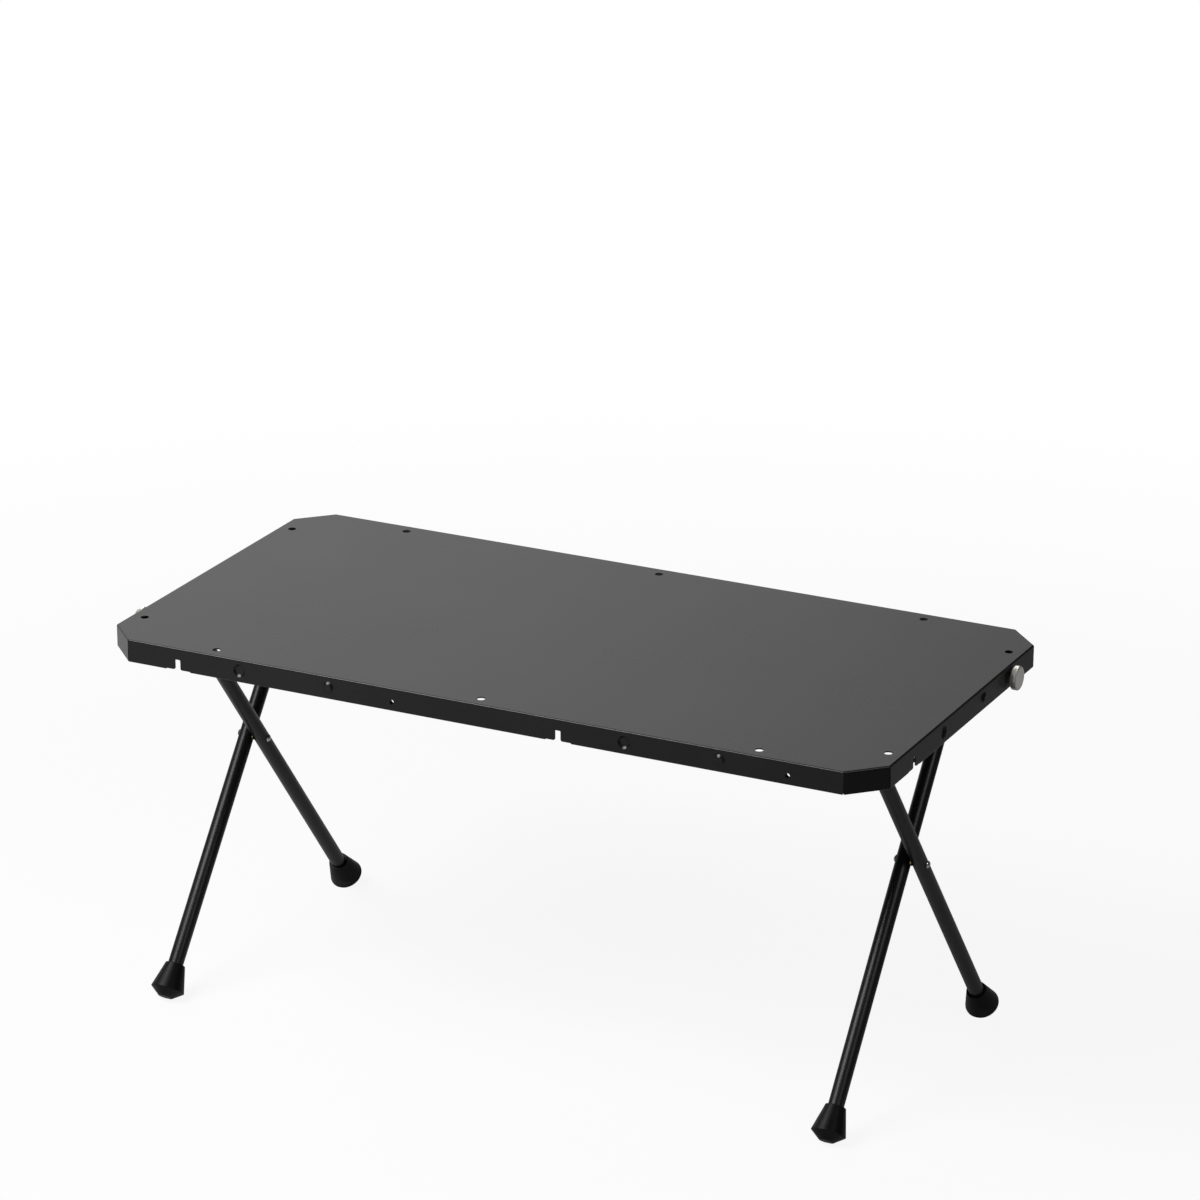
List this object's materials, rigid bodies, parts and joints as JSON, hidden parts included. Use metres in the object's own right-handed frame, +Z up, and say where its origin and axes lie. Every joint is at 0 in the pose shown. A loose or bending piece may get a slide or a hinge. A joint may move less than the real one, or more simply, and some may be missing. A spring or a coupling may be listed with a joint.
{
  "type": "modular camping table",
  "caption": "Low rectangular folding table: folded sheet steel tray with cut corners and linking rim on scissor tube legs with rubber feet.",
  "frame": {"origin": "on the floor under the middle of the top", "axes": "+X along the long side, +Y to the rear, +Z up"},
  "size_m": [0.8566, 0.4238, 0.404],
  "materials": {
    "black_powder_coat": "satin powder coat",
    "black_leg_paint": "semi-gloss paint",
    "black_bracket_paint": "satin powder coat",
    "black_rubber": "matt moulded rubber",
    "black_nylon": "moulded nylon",
    "zinc_steel": "bright zinc",
    "bright_steel": "turned steel",
    "knob_aluminium": "satin, knurled rim",
    "spacer_brass": "turned"
  },
  "bodies": {
    "table_top": {"table_top": "black_powder_coat", "link_nuts": "black_bracket_paint", "left_rail": "zinc_steel", "left_fixed_side_bracket": "black_bracket_paint", "left_sliding_side_bracket": "black_bracket_paint", "left_rail_collar": "zinc_steel", "right_rail": "zinc_steel", "right_fixed_side_bracket": "black_bracket_paint", "right_sliding_side_bracket": "black_bracket_paint", "right_rail_collar": "zinc_steel"},
    "left_fixed_head": {"left_fixed_head": "black_nylon", "left_inner_top_pin": "bright_steel"},
    "left_inner_leg": {"left_inner_leg": "black_leg_paint", "left_inner_top_plug": "black_nylon", "left_inner_foot": "black_rubber", "left_inner_foot_disc": "zinc_steel", "left_pivot_rivet": "bright_steel", "left_pivot_spacer": "spacer_brass"},
    "left_outer_leg": {"left_outer_leg": "black_leg_paint", "left_outer_top_plug": "black_nylon", "left_outer_foot": "black_rubber", "left_outer_foot_disc": "zinc_steel"},
    "left_sliding_head": {"left_sliding_head": "black_nylon", "left_outer_top_pin": "bright_steel"},
    "left_stud_clip": {"left_stud_clip": "bright_steel"},
    "left_thumbscrew": {"left_knob": "knob_aluminium", "left_stud": "bright_steel"},
    "right_fixed_head": {"right_fixed_head": "black_nylon", "right_inner_top_pin": "bright_steel"},
    "right_inner_leg": {"right_inner_leg": "black_leg_paint", "right_inner_top_plug": "black_nylon", "right_inner_foot": "black_rubber", "right_inner_foot_disc": "zinc_steel", "right_pivot_rivet": "bright_steel", "right_pivot_spacer": "spacer_brass"},
    "right_outer_leg": {"right_outer_leg": "black_leg_paint", "right_outer_top_plug": "black_nylon", "right_outer_foot": "black_rubber", "right_outer_foot_disc": "zinc_steel"},
    "right_sliding_head": {"right_sliding_head": "black_nylon", "right_outer_top_pin": "bright_steel"},
    "right_stud_clip": {"right_stud_clip": "bright_steel"},
    "right_thumbscrew": {"right_knob": "knob_aluminium", "right_stud": "bright_steel"}
  },
  "joints": [
    {"name": "left_leg_fold", "type": "hinge", "parent": "table_top", "child": "left_fixed_head", "pos_m": [-0.3421, 0, 0.392], "axis": [0, -1, 0], "range_deg": [0, 90]},
    {"name": "left_inner_leg_swing", "type": "hinge", "parent": "left_fixed_head", "child": "left_inner_leg", "pos_m": [-0.3606, -0.12565, 0.392], "axis": [-1, 0, 0], "range_deg": [0, 33.35]},
    {"name": "left_scissor", "type": "hinge", "parent": "left_inner_leg", "child": "left_outer_leg", "pos_m": [-0.3693, 0, 0.2303], "axis": [1, 0, 0], "range_deg": [0, 66.7]},
    {"name": "left_sliding_head_swing", "type": "hinge", "parent": "left_outer_leg", "child": "left_sliding_head", "pos_m": [-0.378, 0.12565, 0.392], "axis": [-1, 0, 0], "range_deg": [0, 33.35]},
    {"name": "left_screw_travel", "type": "slide", "parent": "table_top", "child": "left_stud_clip", "axis": [-1, 0, 0], "range_m": [0, 0.005]},
    {"name": "left_screw_turn", "type": "hinge", "parent": "left_stud_clip", "child": "left_thumbscrew", "pos_m": [-0.42, -0.12, 0.3898], "axis": [-1, 0, 0], "range_deg": [0, 2251]},
    {"name": "right_leg_fold", "type": "hinge", "parent": "table_top", "child": "right_fixed_head", "pos_m": [0.3421, 0, 0.392], "axis": [0, 1, 0], "range_deg": [0, 90]},
    {"name": "right_inner_leg_swing", "type": "hinge", "parent": "right_fixed_head", "child": "right_inner_leg", "pos_m": [0.3606, 0.12565, 0.392], "axis": [1, 0, 0], "range_deg": [0, 33.35]},
    {"name": "right_scissor", "type": "hinge", "parent": "right_inner_leg", "child": "right_outer_leg", "pos_m": [0.3693, 0, 0.2303], "axis": [-1, 0, 0], "range_deg": [0, 66.7]},
    {"name": "right_sliding_head_swing", "type": "hinge", "parent": "right_outer_leg", "child": "right_sliding_head", "pos_m": [0.378, -0.12565, 0.392], "axis": [1, 0, 0], "range_deg": [0, 33.35]},
    {"name": "right_screw_travel", "type": "slide", "parent": "table_top", "child": "right_stud_clip", "axis": [1, 0, 0], "range_m": [0, 0.005]},
    {"name": "right_screw_turn", "type": "hinge", "parent": "right_stud_clip", "child": "right_thumbscrew", "pos_m": [0.42, 0.12, 0.3898], "axis": [1, 0, 0], "range_deg": [0, 2251]}
  ],
  "couplings": [
    {"joint": "left_inner_leg_swing", "follows": "left_leg_fold", "ratio": 0.3705},
    {"joint": "left_scissor", "follows": "left_leg_fold", "ratio": 0.741},
    {"joint": "left_sliding_head_swing", "follows": "left_leg_fold", "ratio": 0.3705},
    {"joint": "left_screw_turn", "follows": "left_screw_travel", "rad_per_m": 7854},
    {"joint": "right_inner_leg_swing", "follows": "right_leg_fold", "ratio": 0.3705},
    {"joint": "right_scissor", "follows": "right_leg_fold", "ratio": 0.741},
    {"joint": "right_sliding_head_swing", "follows": "right_leg_fold", "ratio": 0.3705},
    {"joint": "right_screw_turn", "follows": "right_screw_travel", "rad_per_m": 7854}
  ]
}
